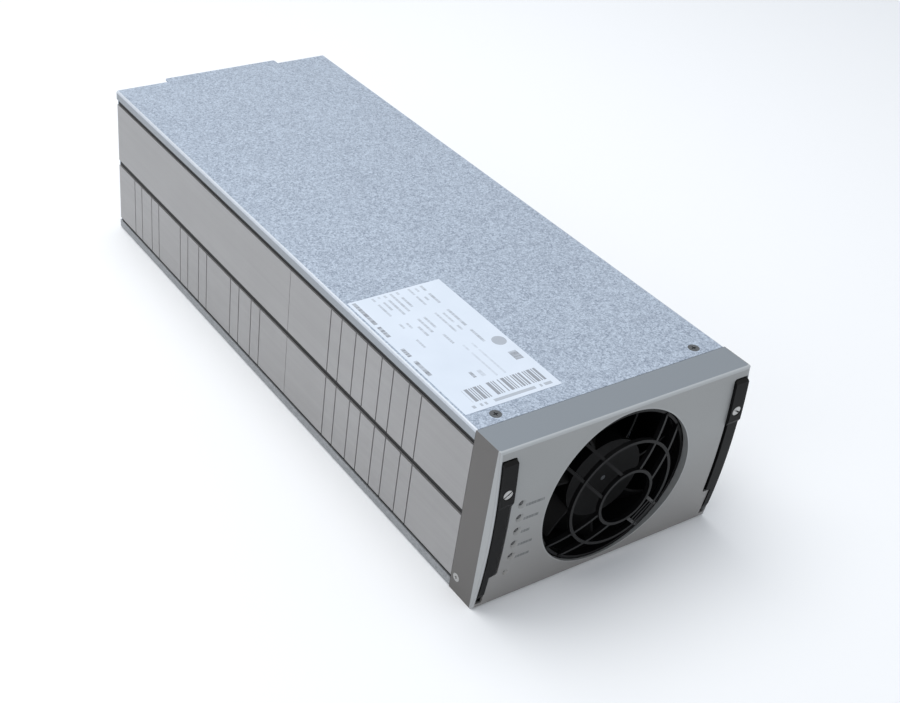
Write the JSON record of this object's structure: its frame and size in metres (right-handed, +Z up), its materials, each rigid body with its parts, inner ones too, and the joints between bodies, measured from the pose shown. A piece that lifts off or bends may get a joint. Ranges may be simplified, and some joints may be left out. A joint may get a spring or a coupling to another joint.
{
  "type": "plug-in rectifier module",
  "caption": "Rack power-supply module: long aluminium-sided case, bowed front with a guarded fan, swing-out side handles, indicator lights and a rear plug.",
  "frame": {"origin": "centre of the underside of the whole module", "axes": "X across the front, Y from the front panel to the rear plug, Z up"},
  "size_m": [0.209, 0.5732, 0.1327],
  "materials": {
    "zinc_sheet": "zinc-coated sheet, fine spangle",
    "tray_sheet": "zinc-coated sheet, dull",
    "panel_metal": "satin silver-grey paint",
    "sink_aluminium": "satin extruded aluminium",
    "strip_plastic": "matt black",
    "handle_plastic": "satin black",
    "guard_plastic": "semi-gloss black",
    "fan_plastic": "semi-gloss black",
    "magnet_ferrite": "dull dark grey",
    "bright_steel": "bright nickel-plated steel",
    "dark_steel": "dark plated steel",
    "copper_wire": "enamelled copper",
    "copper_bar": "bare copper",
    "gold_contact": "gold-plated contacts",
    "board_laminate": "green laminate",
    "clear_plastic": "milky lens",
    "label_film": "white film with grey fields of colour",
    "capacitor_sleeve": "dark blue sleeve",
    "winding_tape": "amber tape",
    "epoxy_black": "moulded black epoxy",
    "connector_plastic": "glass-filled dark plastic"
  },
  "bodies": {
    "case": {"top_cover": "zinc_sheet", "bottom_tray": "tray_sheet", "rating_label": "label_film", "rear_panel": "zinc_sheet", "front_panel": "panel_metal", "left_front_upper_sink": "sink_aluminium", "left_front_lower_sink": "sink_aluminium", "left_rear_upper_sink": "sink_aluminium", "left_rear_lower_sink": "sink_aluminium", "right_front_upper_sink": "sink_aluminium", "right_front_lower_sink": "sink_aluminium", "right_rear_upper_sink": "sink_aluminium", "right_rear_lower_sink": "sink_aluminium", "left_top_strip": "strip_plastic", "left_middle_strip": "strip_plastic", "left_bottom_strip": "strip_plastic", "right_top_strip": "strip_plastic", "right_middle_strip": "strip_plastic", "right_bottom_strip": "strip_plastic", "fan_guard": "guard_plastic", "fan_frame": "fan_plastic", "fan_bearings": "bright_steel", "fan_stator": "copper_wire", "fan_plate": "zinc_sheet", "fan_screws": "dark_steel", "fan_nuts": "bright_steel", "left_handle_bracket": "tray_sheet", "left_hinge_pin": "bright_steel", "right_handle_bracket": "tray_sheet", "right_hinge_pin": "bright_steel", "indicator_board": "board_laminate", "indicator_lights": "clear_plastic", "board_nuts": "bright_steel", "cover_screws": "dark_steel", "tray_screws": "dark_steel", "panel_screws": "bright_steel", "lower_board": "board_laminate", "board_pillars": "bright_steel", "upper_board": "board_laminate", "filter_chokes": "copper_wire", "boost_chokes": "copper_wire", "bulk_capacitors": "capacitor_sleeve", "transformer_cores": "magnet_ferrite", "transformer_windings": "winding_tape", "output_capacitors": "capacitor_sleeve", "control_board": "board_laminate", "left_transistors": "epoxy_black", "right_transistors": "epoxy_black", "output_bars": "copper_bar", "rear_connector": "connector_plastic", "connector_contacts": "gold_contact", "left_guide_bush": "bright_steel", "right_guide_bush": "bright_steel"},
    "fan": {"fan_rotor": "fan_plastic", "fan_magnet": "magnet_ferrite", "fan_shaft": "bright_steel"},
    "left_lever": {"left_handle": "handle_plastic", "left_handle_screw": "bright_steel"},
    "right_lever": {"right_handle": "handle_plastic", "right_handle_screw": "bright_steel"}
  },
  "joints": [
    {"name": "fan_spin", "type": "hinge", "parent": "case", "child": "fan", "pos_m": [0, -0.2534, 0.06755], "axis": [0, 1, 0], "continuous": true},
    {"name": "left_handle_hinge", "type": "hinge", "parent": "case", "child": "left_lever", "pos_m": [-0.1003, -0.2669, 0.013], "axis": [1, 0, 0], "range_deg": [0, 70]},
    {"name": "right_handle_hinge", "type": "hinge", "parent": "case", "child": "right_lever", "pos_m": [0.1003, -0.2669, 0.013], "axis": [1, 0, 0], "range_deg": [0, 70]}
  ]
}
